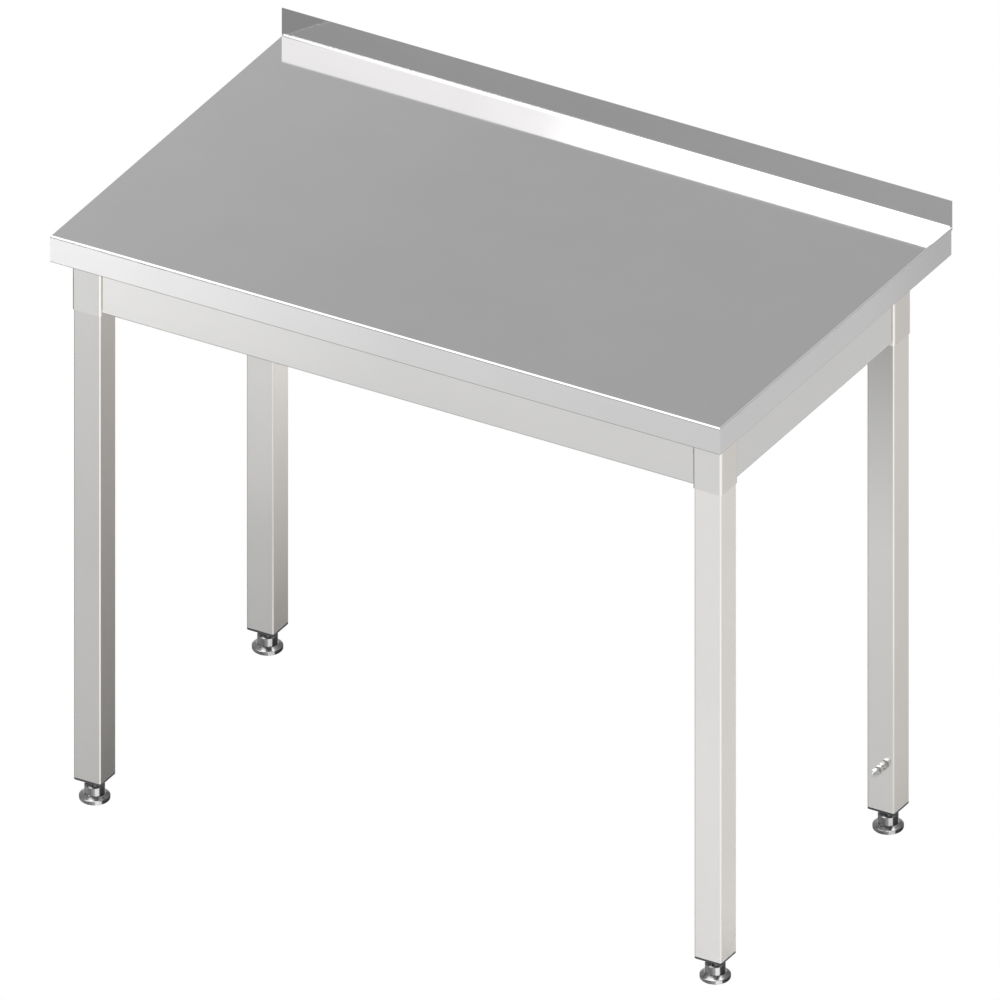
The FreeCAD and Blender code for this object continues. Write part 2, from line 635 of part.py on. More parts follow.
def make_board_screws(hat_drills):
    """Screws up through the stiffener brims into the board; adds the brims' holes to hat_drills."""
    screws, board_drills = [], []
    level, middle = "(board_bottom - hat_thickness)", "(hat_front + hat_length / 2)"
    for side, sign in HATS:
        for edge in (-1, 1):
            for step in (-1, 0, 1):
                x, y = f"{sign} * hat_x + {edge} * brim_middle", f"{middle} + {step} * wood_screw_span"
                head = cylinder("wood_screw_head_diameter", "wood_screw_head_height", "wood_screw_head")
                screw = headed("wood_screw_diameter", "wood_screw_length", head, "wood_screw_head_height",
                               "wood_screw")
                screws.append(place(screw, x, y, level))
                deep = cylinder("wood_screw_diameter", "wood_screw_length", "pilot")
                board_drills.append(place(deep, x, y, level))
                hole = cylinder("wood_screw_diameter + hole_gap", "3 * hat_thickness", "brim_drill")
                hat_drills[side].append(place(hole, x, y, f"{level} - hat_thickness"))
    keep(group(screws), "board_screws")
    return board_drills


def make_bonding_terminal():
    """Earth bonding point: a stud welded to the rear right leg's front face, nuts and washers."""
    x, face, turn = "leg_x", "(rear_leg_y - leg_size / 2)", OUT["y"][-1]
    foot = cylinder("stud_foot_diameter", "stud_foot_height", "stud_foot")
    stud = fused(cylinder("bolt_diameter", "stud_length", "stud_shank"), foot, "stud")
    keep(place(stud, x, face, "stud_level", *turn), "bonding_stud")
    reach = "stud_foot_height"
    nuts, washers = [], []
    stack = (("nut", "bolt_nut"), ("washer", "washer_thickness"), ("lug", "stud_lug_gap"),
             ("washer", "washer_thickness"), ("nut", "bolt_nut"))
    for kind, height in stack:
        y = f"{face} - ({reach})"
        if kind == "nut":
            ring = nut("bolt_width", height, "bolt_diameter + 2 * thread_gap", "stud_nut")
            nuts.append(place(ring, x, y, "stud_level", *turn))
        if kind == "washer":
            blank = cylinder("washer_diameter", height, "stud_washer_blank")
            ring = cut(blank, cylinder("bolt_diameter + 2 * hole_gap", height), "stud_washer")
            washers.append(place(ring, x, y, "stud_level", *turn))
        reach += " + " + height
    keep(group(nuts), "bonding_nuts")
    keep(group(washers), "bonding_washers")


def make_plug_nuts():
    """Captive nuts in the plugs' seats; the foot spindles run in them."""
    nuts = []
    for name, sign_x, leg_y, sign_y in CORNERS:
        ring = nut("plug_nut_width", "plug_nut_height", "spindle_diameter + 2 * spindle_gap", "plug_nut")
        level = "plug_bottom + plug_flange + plug_spigot - plug_nut_height"
        nuts.append(place(ring, f"{sign_x} * leg_x", leg_y, level))
    keep(group(nuts), "plug_nuts")


# ---------------------------------------------------------------- assembly

make_worktop_sheet()
hat_holes, apron_holes = make_stiffener_bolts()
make_core_board(make_board_screws(hat_holes))
for hat_side, hat_sign in HATS:
    make_stiffener(hat_side, hat_sign, hat_holes[hat_side])
make_aprons(apron_holes)
socket_holes = make_clamps()
for corner, side_x, corner_y, side_y in CORNERS:
    make_socket(corner, side_x, corner_y, side_y, socket_holes[corner])
    make_leg(corner, side_x, corner_y)
    make_plug(corner, side_x, corner_y)
    make_foot_base(corner, side_x, corner_y)
    make_foot_spindle(corner, side_x, corner_y)
    make_snap_ring(corner, side_x, corner_y)
make_plug_nuts()
make_bonding_terminal()
doc.recompute()

for thing in doc.Objects:
    if "Invalid" in thing.State or "Error" in thing.State:
        raise RuntimeError(thing.Label + " failed to build")
for thing in nodes:
    if thing.Shape.isNull() or not thing.Shape.isValid():
        raise RuntimeError(thing.Label + " has no valid shape")

os.makedirs("parts", exist_ok=True)
for thing in nodes:
    thing.Shape.exportStep("parts/" + thing.Label + ".step")
    print(f"{thing.Label}: {len(thing.Shape.Solids)} solids, {thing.Shape.Volume / 1000:.1f} cm3")
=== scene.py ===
import math

import bmesh
import bpy
from bpy.props import FloatProperty, FloatVectorProperty, PointerProperty
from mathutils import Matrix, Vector


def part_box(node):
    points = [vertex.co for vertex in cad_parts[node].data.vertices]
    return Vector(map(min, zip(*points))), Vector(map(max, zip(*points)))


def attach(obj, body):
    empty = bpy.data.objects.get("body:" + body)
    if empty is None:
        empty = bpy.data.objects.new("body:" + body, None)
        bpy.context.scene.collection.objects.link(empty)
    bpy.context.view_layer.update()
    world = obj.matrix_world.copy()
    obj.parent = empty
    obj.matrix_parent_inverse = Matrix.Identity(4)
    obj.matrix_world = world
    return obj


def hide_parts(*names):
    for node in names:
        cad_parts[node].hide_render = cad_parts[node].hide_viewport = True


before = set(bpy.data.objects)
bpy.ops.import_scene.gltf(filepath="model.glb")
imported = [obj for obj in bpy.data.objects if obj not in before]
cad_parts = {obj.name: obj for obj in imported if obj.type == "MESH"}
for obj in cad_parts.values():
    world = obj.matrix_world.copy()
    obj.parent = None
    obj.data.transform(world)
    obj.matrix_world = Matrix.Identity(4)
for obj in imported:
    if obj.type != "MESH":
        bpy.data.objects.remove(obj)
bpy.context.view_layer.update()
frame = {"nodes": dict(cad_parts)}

bl_info = {
    "name": "Stainless work table",
    "version": (1, 0, 0),
    "blender": (4, 5, 0),
    "location": "3D View > Sidebar > Work table",
    "description": "Finishes and small pieces of a stainless work table around its engineering model",
    "category": "Object",
}

CORNERS = ("front_left", "front_right", "rear_left", "rear_right")
SIDES = ("front", "rear", "left", "right")
HATS = ("left", "middle", "right")

# Painted light and shade at the foot, middle and top of each tube, as levels: front and rear faces, then the
# sides.
LEG_PAINTED_LIGHT = {
    "front_left": ((0.76, 0.67, 0.62), (0.40, 0.70, 0.82)),
    "front_right": ((1.20, 1.04, 0.98), (1.26, 1.18, 1.16)),
    "rear_left": ((0.84, 0.92, 0.62), (0.72, 1.32, 1.24)),
    "rear_right": ((1.16, 0.98, 0.46), (1.12, 1.02, 1.04)),
}
# Painted light and shade of each corner socket, laid out the same way.
SOCKET_PAINTED_LIGHT = {
    "front_left": ((0.80, 0.78, 0.78), (1.00, 1.00, 1.00)),
    "front_right": ((1.00, 1.00, 1.00), (1.20, 1.20, 1.20)),
    "rear_left": ((1.00, 1.00, 1.00), (1.00, 1.00, 1.00)),
    "rear_right": ((1.00, 1.00, 1.00), (1.12, 1.12, 1.12)),
}
# Painted light and shade as levels from one end of each apron to the other.
APRON_PAINTED_LIGHT = {
    "front": (0.96, 0.88, 0.98),
    "rear": (1.00, 1.00, 1.00),
    "left": (1.00, 1.00, 1.00),
    "right": (1.14, 1.14, 1.14),
}
# Stops of (place along the table, level of painted light and shade) for the faces of the worktop sheet.
UPSTAND_PAINTED_LIGHT = [(0.0, 0.86), (0.5, 1.00), (1.0, 1.14)]
SKIRT_PAINTED_LIGHT = [(0.1, 1.00), (0.5, 0.88), (1.0, 0.92)]
PLATE_PAINTED_LIGHT = [(0.0, 1.14), (0.45, 1.01), (1.0, 0.98)]
# Painted highlight on the right face of the worktop, and painted shade that grows towards its rear.
SIDE_PAINTED_HIGHLIGHT, SIDE_PAINTED_SHADE = 0.1, 0.2
# Stops of (place across a round, level) for the painted reflection on lathe-made, polished walls and domes:
# light and dark stripes standing in for mirrored surroundings.
WALL_PAINTED_REFLECTION = [(0.0, 0.04), (0.08, 0.5), (0.30, 0.36), (0.50, 0.9), (0.53, 2.0), (0.70, 1.9), (0.74, 0.16),
              (1.0, 0.04)]
DOME_PAINTED_REFLECTION = [(0.0, 0.04), (0.15, 0.4), (0.4, 1.0), (0.56, 1.6), (0.76, 0.36), (1.0, 0.04)]

HALF_LENGTH = 0.5
UPSTAND_HEIGHT = 0.040
UPSTAND_LEAN = 0.15
# Level of the painted highlight on two corner radii of each tube.
CORNER_PAINTED_HIGHLIGHT = 0.98
# Warm tint of the tube sides, a painted reflection.
SIDE_REFLECTION_TINT = (1.0, 0.965, 0.93)
BLEND_NORMAL = (0.12, 0.35)
FOLD_NORMAL = (-0.05, -0.30)
SIDE_NORMAL = (0.6, 0.8)
FACE_NORMAL = 0.7
DOME_NORMAL = (0.15, 0.45)
# Painted shade on two corner radii of each tube, on the worktop's underside fold and on the aprons' fold, and
# a painted highlight along the worktop's right crease.
CORNER_PAINTED_SHADE, FOLD_PAINTED_SHADE, APRON_FOLD_PAINTED_SHADE, CREASE_PAINTED_HIGHLIGHT = 0.75, 0.65, 0.55, 0.65
LATHE_RINGS, LATHE_DEPTH = 6000.0, 0.000004
# The view's right, across which the stripes of painted reflection run.
REFLECTION_WAY = (0.866, 0.5)
ALONG_X = (9.0, 900.0, 900.0)
ALONG_Y = (900.0, 9.0, 900.0)
ALONG_Z = (700.0, 700.0, 9.0)

# Name, side in metres and place of each softbox.
SOFTBOXES = (("overhead", 4.0, (0.0, -0.6, 4.0)),
             ("near_light", 1.2, (0.9, -1.5, 2.3)),
             ("side_light", 0.8, (-1.5, -1.8, 1.1)))
# Directions of the surround's grey card behind and of its glow in front, and how each fades in.
BACK_WAY, BACK_FADE = (-0.433, 0.75, 0.5), (0.70, 0.90)
GLOW_WAY, GLOW_FADE = (-0.433, -0.571, 0.698), (0.90, 0.96)
FRONT_FADE, LOW_FADE = (-0.05, -0.35), (0.56, 0.44)

# Spindle radii in metres against height over its foot, up to the start of the thread.
SPINDLE_PROFILE = ((0.0, 0.006), (0.00385, 0.006), (0.00385, 0.00525), (0.00535, 0.00525), (0.00535, 0.006),
                   (0.0075, 0.006), (0.0075, 0.0135), (0.0189, 0.0135), (0.0208, 0.0116), (0.0208, 0.005))
SPINDLE_RADIUS = 0.005
SPINDLE_CHAMFER = 0.001
SPINDLE_SIDES = 48
SHARP_ANGLE = math.radians(40)
THREAD_PITCH = 0.0015
THREAD_DEPTH = 0.00092
THREAD_ROWS = 8
THREAD_CREST = 0.125
THREAD_ROOT = 0.25
APRON_SHEET = 0.0015
APRON_FLANGE = 0.004
BEAD_RADIUS = 0.0022
BEAD_DIP = 0.15
BEAD_RIPPLE = 0.0024
BEAD_STEP = 0.0006
BEAD_SIDES = 10
BEAD_END_ROWS = 3
BEAD_END_RADIUS = 0.4


# ---------------------------------------------------------------- shader maths

class Wire:
    """An output socket whose arithmetic adds Math nodes."""

    def __init__(self, shader, socket):
        self.shader = shader
        self.socket = socket

    def math(self, operation, *values, clamp=False):
        settings = {"operation": operation, "use_clamp": clamp}
        return self.shader.node("ShaderNodeMath", settings, dict(enumerate(values)))

    def __add__(self, other):
        return self.math("ADD", self, other)

    def __radd__(self, other):
        return self.math("ADD", other, self)

    def __sub__(self, other):
        return self.math("SUBTRACT", self, other)

    def __rsub__(self, other):
        return self.math("SUBTRACT", other, self)

    def __mul__(self, other):
        return self.math("MULTIPLY", self, other)

    def __rmul__(self, other):
        return self.math("MULTIPLY", other, self)

    def __truediv__(self, other):
        return self.math("DIVIDE", self, other)

    def __lt__(self, other):
        return self.math("LESS_THAN", self, other)

    def __gt__(self, other):
        return self.math("GREATER_THAN", self, other)

    def __abs__(self):
        return self.math("ABSOLUTE", self)

    def sine(self):
        return self.math("SINE", self)

    def clamped(self):
        return self.math("ADD", self, 0.0, clamp=True)

    def red(self):
        return self.shader.node("ShaderNodeSeparateColor", {}, {0: self})


class Shader:
    """The node tree of a material or world, emptied, with one method that adds any node."""

    def __init__(self, tree):
        self.tree = tree
        tree.nodes.clear()

    def node(self, kind, settings=None, inputs=None, output=0):
        """Add a node, set it up, feed its sockets and return one output as a Wire."""
        made = self.tree.nodes.new(kind)
        for name, value in (settings or {}).items():
            if name == "stops":
                self.set_stops(made.color_ramp, value)
            else:
                setattr(made, name, value)
        for key, value in (inputs or {}).items():
            if isinstance(value, Wire):
                self.tree.links.new(value.socket, made.inputs[key])
            else:
                made.inputs[key].default_value = value
        return Wire(self, made.outputs[output]) if len(made.outputs) else None

    def set_stops(self, ramp, stops):
        while len(ramp.elements) < len(stops):
            ramp.elements.new(1.0)
        for element, (place, level) in zip(ramp.elements, stops):
            element.position = place
            element.color = (level, level, level, 1.0)

    def place(self):
        """Position on the table, in metres."""
        return self.node("ShaderNodeTexCoord", output="Object")

    def normal(self):
        return self.node("ShaderNodeNewGeometry", output="Normal")

    def split(self, vector):
        parts = self.node("ShaderNodeSeparateXYZ", inputs={0: vector})
        sockets = parts.socket.node.outputs
        return [Wire(self, sockets[letter]) for letter in ("X", "Y", "Z")]

    def stretched(self, vector, scale):
        """Coordinates scaled by three factors."""
        return self.node("ShaderNodeVectorMath", {"operation": "MULTIPLY"}, {0: vector, 1: scale})

    def noise(self, vector, scale, detail=3.0, roughness=0.5):
        return self.node("ShaderNodeTexNoise", {}, {"Vector": vector, "Scale": scale, "Detail": detail,
                                                    "Roughness": roughness})

    def cells(self, vector, scale, output="Distance"):
        return self.node("ShaderNodeTexVoronoi", {}, {"Vector": vector, "Scale": scale}, output)

    def blend(self, factor, first, second):
        """Mix two colours."""
        settings = {"data_type": "RGBA", "clamp_factor": True}
        made = self.node("ShaderNodeMix", settings, {0: factor})
        mixer = made.socket.node
        for socket, value in ((mixer.inputs[6], first), (mixer.inputs[7], second)):
            if isinstance(value, Wire):
                self.tree.links.new(value.socket, socket)
            else:
                socket.default_value = value
        return Wire(self, mixer.outputs[2])

    def tinted(self, colour, factor):
        """Colour times a factor."""
        base = colour if isinstance(colour, Wire) else colour[:3]
        return self.node("ShaderNodeVectorMath", {"operation": "SCALE"}, {0: base, "Scale": factor})

    def ramp(self, value, stops):
        """Level from 0 to 2, read off a row of (place, level) stops; the ramp itself holds halves."""
        halves = [(place, level / 2) for place, level in stops]
        return self.node("ShaderNodeValToRGB", {"stops": halves}, {0: value}).red() * 2.0

    def fade(self, value, start, end):
        """Smooth step from 0 at start to 1 at end."""
        return self.node("ShaderNodeMapRange", {"interpolation_type": "SMOOTHSTEP"},
                         {"Value": value, "From Min": start, "From Max": end})

    def bump(self, height, distance, strength=1.0, normal=None):
        inputs = {"Height": height, "Distance": distance, "Strength": strength}
        if normal:
            inputs["Normal"] = normal
        return self.node("ShaderNodeBump", {}, inputs)

    def finish(self, **inputs):
        """Principled shader to the output; underscores in names stand for spaces."""
        named = {name.replace("_", " "): value for name, value in inputs.items()}
        surface = self.node("ShaderNodeBsdfPrincipled", {}, named)
        self.node("ShaderNodeOutputMaterial", {}, {"Surface": surface})


def new_material(name):
    material = bpy.data.materials.new(name)
    material.use_nodes = True
    return material, Shader(material.node_tree)


def rgba(colour):
    return (*colour[:3], 1.0)


def shade(colour, factor):
    return (*[channel * factor for channel in colour[:3]], 1.0)


# ---------------------------------------------------------------- settings

class SteelFinish(bpy.types.PropertyGroup):
    """Colours and grain of the stainless parts."""
    worktop: FloatVectorProperty(name="Worktop", description="Rolled sheet of the worktop",
                                 subtype="COLOR", default=(0.60, 0.595, 0.595))
    frame: FloatVectorProperty(name="Frame", description="Aprons and corner sockets",
                               subtype="COLOR", default=(0.60, 0.596, 0.586))
    leg: FloatVectorProperty(name="Leg", description="Square leg tubes",
                             subtype="COLOR", default=(0.70, 0.692, 0.68))
    foot: FloatVectorProperty(name="Foot", description="Turned and polished feet",
                              subtype="COLOR", default=(0.50, 0.50, 0.505))
    fastener: FloatVectorProperty(name="Fastener", description="Screws, nuts and washers",
                                  subtype="COLOR", default=(0.78, 0.78, 0.77))
    zinc: FloatVectorProperty(name="Galvanised", description="Stiffeners under the board",
                              subtype="COLOR", default=(0.62, 0.64, 0.65))
    weld: FloatVectorProperty(name="Weld", description="Beads between aprons and sockets",
                              subtype="COLOR", default=(0.55, 0.55, 0.56))
    worktop_roughness: FloatProperty(name="Worktop roughness", description="Gloss of the worktop sheet",
                                     default=0.07, min=0.0, max=1.0)
    frame_roughness: FloatProperty(name="Frame roughness", description="Gloss of aprons, sockets and legs",
                                   default=0.12, min=0.0, max=1.0)
    grain_depth: FloatProperty(name="Grain depth", description="Height of the brushed grain",
                               unit="LENGTH", default=0.000004, min=0.0)


class OtherFinish(bpy.types.PropertyGroup):
    """Colours of what isn't steel."""
    plug: FloatVectorProperty(name="Plug", description="Moulded leg plugs",
                              subtype="COLOR", default=(0.035, 0.035, 0.04))
    laminate: FloatVectorProperty(name="Laminate", description="Face of the core board",
                                  subtype="COLOR", default=(0.62, 0.61, 0.58))
    chips: FloatVectorProperty(name="Chips", description="Open edge of the core board",
                               subtype="COLOR", default=(0.42, 0.30, 0.18))


class StageSettings(bpy.types.PropertyGroup):
    """Camera, floor and light."""
    azimuth: FloatProperty(name="Azimuth", description="Camera to the right of the front",
                           subtype="ANGLE", default=math.radians(30))
    elevation: FloatProperty(name="Elevation", description="Camera above the horizon",
                             subtype="ANGLE", default=math.radians(30))
    width: FloatProperty(name="View width", description="Width that the parallel view takes in",
                         unit="LENGTH", default=1.2922)
    aim_right: FloatProperty(name="Aim right", description="View centre, right of the floor origin",
                             unit="LENGTH", default=-0.0016)
    aim_up: FloatProperty(name="Aim up", description="View centre, above the floor origin in the view",
                          unit="LENGTH", default=0.3936)
    distance: FloatProperty(name="Distance", description="Camera to the view centre",
                            unit="LENGTH", default=4.0)
    floor_size: FloatProperty(name="Floor", description="Side of the square floor",
                              unit="LENGTH", default=24.0)
    floor: FloatVectorProperty(name="Floor colour", description="Pale studio floor",
                               subtype="COLOR", default=(0.82, 0.82, 0.82))
    flag_area: FloatVectorProperty(name="Flag area",
                                   description="Left, right, foot and top of the grey card",
                                   unit="LENGTH", size=4, default=(-2.2, -1.05, 0.05, 0.75))
    flag_y: FloatProperty(name="Flag place", description="Where the card stands along the table's depth",
                          unit="LENGTH", default=-1.75)
    flag_level: FloatProperty(name="Flag level", description="Brightness of the grey card", default=0.47)
    sky: FloatProperty(name="Surround", description="Brightness of the pale surround", default=0.45)
    back_card: FloatProperty(name="Back card", description="Brightness of the grey card behind on the left",
                             default=0.6)
    front_card: FloatProperty(name="Front card", description="Brightness of the grey card low in front",
                              default=0.74)
    glow: FloatProperty(name="Front glow", description="Brightness added high in front of the table",
                        default=1.95)
    overhead: FloatProperty(name="Overhead light", description="Power of the overhead softbox in watts",
                            default=78.0)
    near_light: FloatProperty(name="Near light", description="Power of the front right softbox in watts",
                              default=6.5)
    side_light: FloatProperty(name="Side light", description="Power of the front left softbox in watts",
                              default=13.0)


# ---------------------------------------------------------------- finishes

def steel_coat(shader, place, colour, roughness, grain, across, tone, gloss_change=0.0, straight=None):
    """Fine brushed grain over colour, with tone as a factor that carries each part's painted light and shade;
    across stretches the noise into lines.
    """
    lines = shader.noise(shader.stretched(place, across), 1.0, 4.0, 0.65)
    smear = shader.noise(place, 7.0, 3.0, 0.55)
    wear = (smear * 0.065 + 0.965) * (1.0 - lines * 0.03)
    gloss = roughness + (smear - 0.5) * 0.05 + (lines - 0.5) * 0.05 + gloss_change
    shader.finish(Base_Color=shader.tinted(colour, wear * tone), Metallic=1.0, Roughness=gloss.clamped(),
                  Normal=shader.bump(lines, grain, 1.0, straight))


def apron_steel(name, settings, across, painted_levels):
    """Folded apron: painted light and shade run from its left or front end to the other; the fold underneath
    gets painted shade.
    """
    material, shader = new_material(name)
    place = shader.place()
    along = shader.split(place)[0 if across == ALONG_X else 1]
    up = shader.split(shader.normal())[2]
    tone = shader.ramp(along + HALF_LENGTH, list(zip((0.0, 0.5, 1.0), painted_levels)))
    # Painted shade on the fold underneath.
    tone = tone * (1.0 - shader.fade(up, *FOLD_NORMAL) * APRON_FOLD_PAINTED_SHADE)
    steel_coat(shader, place, settings.frame, settings.frame_roughness, settings.grain_depth, across, tone)
    return material


def tube_steel(name, colour, roughness, grain, span, painted_levels):
    """Brushed square tube.

    Two opposite corner radii, facing front right and rear left, carry a painted highlight and the other two
    painted shade. Levels of painted light and shade are given at the foot, the middle and the top of span,
    for the front and rear faces and then for the sides.
    """
    material, shader = new_material(name)
    place = shader.place()
    across, along = shader.split(shader.normal())[:2]
    height = shader.split(place)[2]
    rise = (height - span[0]) / (span[1] - span[0])
    # Painted light and shade up the tube: one row for the front and rear faces, one for the sides.
    faces = [shader.ramp(rise, list(zip((0.05, 0.5, 0.95), levels))) for levels in painted_levels]
    side = shader.fade(abs(across), *SIDE_NORMAL)
    tone = faces[0] * (1.0 - side) + faces[1] * side
    start, end = BLEND_NORMAL
    # Painted shade on the corners facing front left and rear right, painted highlight on those facing front
    # right and rear left.
    painted_shade_corners = shader.fade(across * along, start, end)
    painted_highlight_corners = shader.fade(across * along, -start, -end)
    tone = tone * (1.0 - painted_shade_corners * CORNER_PAINTED_SHADE) * (1.0 - painted_highlight_corners) + painted_highlight_corners * (CORNER_PAINTED_HIGHLIGHT / colour[0])
    # The sides take a warm tint as a painted reflection.
    side_reflection = (*[channel * share for channel, share in zip(colour, SIDE_REFLECTION_TINT)], 1.0)
    metal = shader.blend(side, rgba(colour), side_reflection)
    steel_coat(shader, place, metal, roughness, grain, ALONG_Z, tone, painted_highlight_corners * -0.05)
    return material


def worktop_steel(settings):
    """Rolled sheet: grain along the table; the upstand leans a touch, as folded sheet does."""
    material, shader = new_material("worktop_steel")
    place = shader.place()
    x, y, z = shader.split(place)
    across, along, up = shader.split(shader.normal())
    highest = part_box("worktop_sheet")[1]
    leaf = (z > highest.z - UPSTAND_HEIGHT + 0.001) * (y > highest.y - 0.004)
    upstand_painted_light, front_painted_light, top_painted_light = [shader.ramp(x + HALF_LENGTH, stops)
                               for stops in (UPSTAND_PAINTED_LIGHT, SKIRT_PAINTED_LIGHT, PLATE_PAINTED_LIGHT)]
    front = along < -FACE_NORMAL
    side = across > FACE_NORMAL
    flat = up > FACE_NORMAL
    # Painted shade on the downward fold of the sheet.
    fold = shader.fade(up, *FOLD_NORMAL)
    # Painted highlight along the crease between the top and the right face.
    crease = shader.fade(across * up, *BLEND_NORMAL)
    # Painted light and shade over the sheet: levels along the table on the upstand, the front face and the
    # top, and on the right face a painted highlight with painted shade towards its rear.
    tone = (1.0 + leaf * (upstand_painted_light - 1.0) + (1.0 - leaf) * front * (front_painted_light - 1.0) + flat * (top_painted_light - 1.0)
            + side * (SIDE_PAINTED_HIGHLIGHT - shader.fade(y, 0.05, 0.30) * SIDE_PAINTED_SHADE))
    tone = tone * (1.0 - fold * FOLD_PAINTED_SHADE) * (1.0 + crease * CREASE_PAINTED_HIGHLIGHT)
    tilt = shader.node("ShaderNodeCombineXYZ", {}, {"Z": leaf * UPSTAND_LEAN})
    leaned = shader.node("ShaderNodeVectorMath", {"operation": "ADD"}, {0: shader.normal(), 1: tilt})
    straight = shader.node("ShaderNodeVectorMath", {"operation": "NORMALIZE"}, {0: leaned})
    steel_coat(shader, place, settings.worktop, settings.worktop_roughness, settings.grain_depth,
               ALONG_X, tone, straight=straight)
    return material


def polished_steel(name, colour):
    """Polished after the lathe: faint rings from the lathe, and painted reflection as light and dark stripes
    round the axis, set by which way the surface faces.
    """
    material, shader = new_material(name)
    place = shader.place()
    across, along, up = shader.split(shader.normal())
    across_view = (across * REFLECTION_WAY[0] + along * REFLECTION_WAY[1]) * 0.5 + 0.5
    flat = shader.fade(up, *DOME_NORMAL)
    rings = (shader.split(place)[2] * LATHE_RINGS).sine() * 0.5 + 0.5
    smear = shader.noise(place, 60.0, 2.0)
    # Painted reflection: how the surface faces across the view sets its level.
    painted_reflection = shader.ramp(across_view, WALL_PAINTED_REFLECTION) * (1.0 - flat) + shader.ramp(across_view, DOME_PAINTED_REFLECTION) * flat
    normal = shader.bump(rings, LATHE_DEPTH, 0.6)
    shader.finish(Base_Color=shader.tinted(colour, painted_reflection * (smear * 0.1 + 0.93)), Metallic=1.0,
                  Roughness=0.16 + smear * 0.08, Normal=normal)
    return material


def fastener_steel(name, colour):
    material, shader = new_material(name)
    place = shader.place()
    grit = shader.noise(place, 900.0, 3.0)
    smear = shader.noise(place, 90.0, 2.0)
    tone = shader.blend(smear, shade(colour, 0.85), shade(colour, 1.05))
    gloss = 0.2 + grit * 0.12
    normal = shader.bump(grit, 0.00002, 0.5)
    shader.finish(Base_Color=tone, Metallic=1.0, Roughness=gloss, Normal=normal)
    return material


def weld_steel(name, colour):
    """Brushed-off weld: straw and blue heat tints over uneven grey."""
    material, shader = new_material(name)
    place = shader.place()
    heat = shader.noise(place, 60.0, 3.0)
    grit = shader.noise(place, 1200.0, 2.0)
    tint = shader.blend(shader.fade(heat, 0.35, 0.65), (0.52, 0.40, 0.24, 1.0), rgba(colour))
    shader.finish(Base_Color=shader.tinted(tint, grit * 0.3 + 0.85), Metallic=1.0, Roughness=0.3 + grit * 0.2,
                  Normal=shader.bump(grit, 0.00003, 0.6))
    return material


def galvanised(name, colour):
    """Zinc spangle."""
    material, shader = new_material(name)
    place = shader.place()
    spangle = shader.node("ShaderNodeSeparateColor", {}, {0: shader.cells(place, 110.0, "Color")})
    smear = shader.noise(place, 25.0, 3.0)
    tone = shader.blend(spangle, shade(colour, 0.8), shade(colour, 1.1))
    gloss = 0.28 + spangle * 0.15 + smear * 0.08
    normal = shader.bump(smear, 0.00005, 0.4)
    shader.finish(Base_Color=tone, Metallic=0.95, Roughness=gloss, Normal=normal)
    return material


def moulded_plastic(name, colour):
    material, shader = new_material(name)
    place = shader.place()
    grain = shader.noise(place, 1500.0, 2.0)
    smear = shader.noise(place, 40.0, 2.0)
    tone = shader.blend(smear, rgba(colour), shade(colour, 1.6))
    gloss = 0.42 + smear * 0.12
    normal = shader.bump(grain, 0.00004, 0.6)
    shader.finish(Base_Color=tone, Metallic=0.0, Roughness=gloss, Normal=normal)
    return material


def laminated_board(name, settings):
    """Grey laminate on both faces, pressed chips where the edge is open."""
    material, shader = new_material(name)
    place = shader.place()
    edge = abs(shader.split(shader.normal())[2]) < 0.5
    chip = shader.node("ShaderNodeSeparateColor", {}, {0: shader.cells(place, 420.0, "Color")})
    fine = shader.noise(place, 300.0, 3.0)
    wood = shader.blend(chip, shade(settings.chips, 0.6), shade(settings.chips, 1.35))
    face = shader.blend(fine, shade(settings.laminate, 0.95), shade(settings.laminate, 1.04))
    tone = shader.blend(edge, face, wood)
    gloss = 0.45 + edge * 0.4
    normal = shader.bump(chip * edge + fine * 0.1, 0.0003, 0.5)
    shader.finish(Base_Color=tone, Roughness=gloss.clamped(), Normal=normal)
    return material


def height_span(name):
    """Lowest and highest z of a CAD node."""
    lowest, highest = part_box(name)
    return lowest.z, highest.z


def dress(names, material):
    for name in names:
        mesh = frame["nodes"][name].data
        mesh.materials.clear()
        mesh.materials.append(material)


# ---------------------------------------------------------------- pieces

def surface(name, rows, material, body, slot):
    """Closed tube through rows of points, all with the same count, that rides on a CAD body."""
    count = len(rows[0])
    shape = bmesh.new()
    rings = [[shape.verts.new(point) for point in row] for row in rows]
    for low, high in zip(rings, rings[1:]):
        for index in range(count):
            after = (index + 1) % count
            shape.faces.new((low[index], low[after], high[after], high[index]))
    shape.faces.new(list(reversed(rings[0])))
    shape.faces.new(rings[-1])
    bmesh.ops.recalc_face_normals(shape, faces=shape.faces)
    mesh = bpy.data.meshes.new(name)
    shape.to_mesh(mesh)
    shape.free()
    mesh.shade_smooth()
    mesh.set_sharp_from_angle(angle=SHARP_ANGLE)
    mesh.materials.append(material)
    piece = bpy.data.objects.new(name, mesh)
    bpy.context.scene.collection.objects.link(piece)
    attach(piece, body)
    return piece


def thread_depth(turn):
    """Depth of the thread profile, 0 at the crest and 1 at the root, for a place within one turn."""
    rise = abs(turn % 1.0 - 0.5) * 2.0
    return min(max((rise - THREAD_CREST) / (1.0 - THREAD_CREST - THREAD_ROOT), 0.0), 1.0)


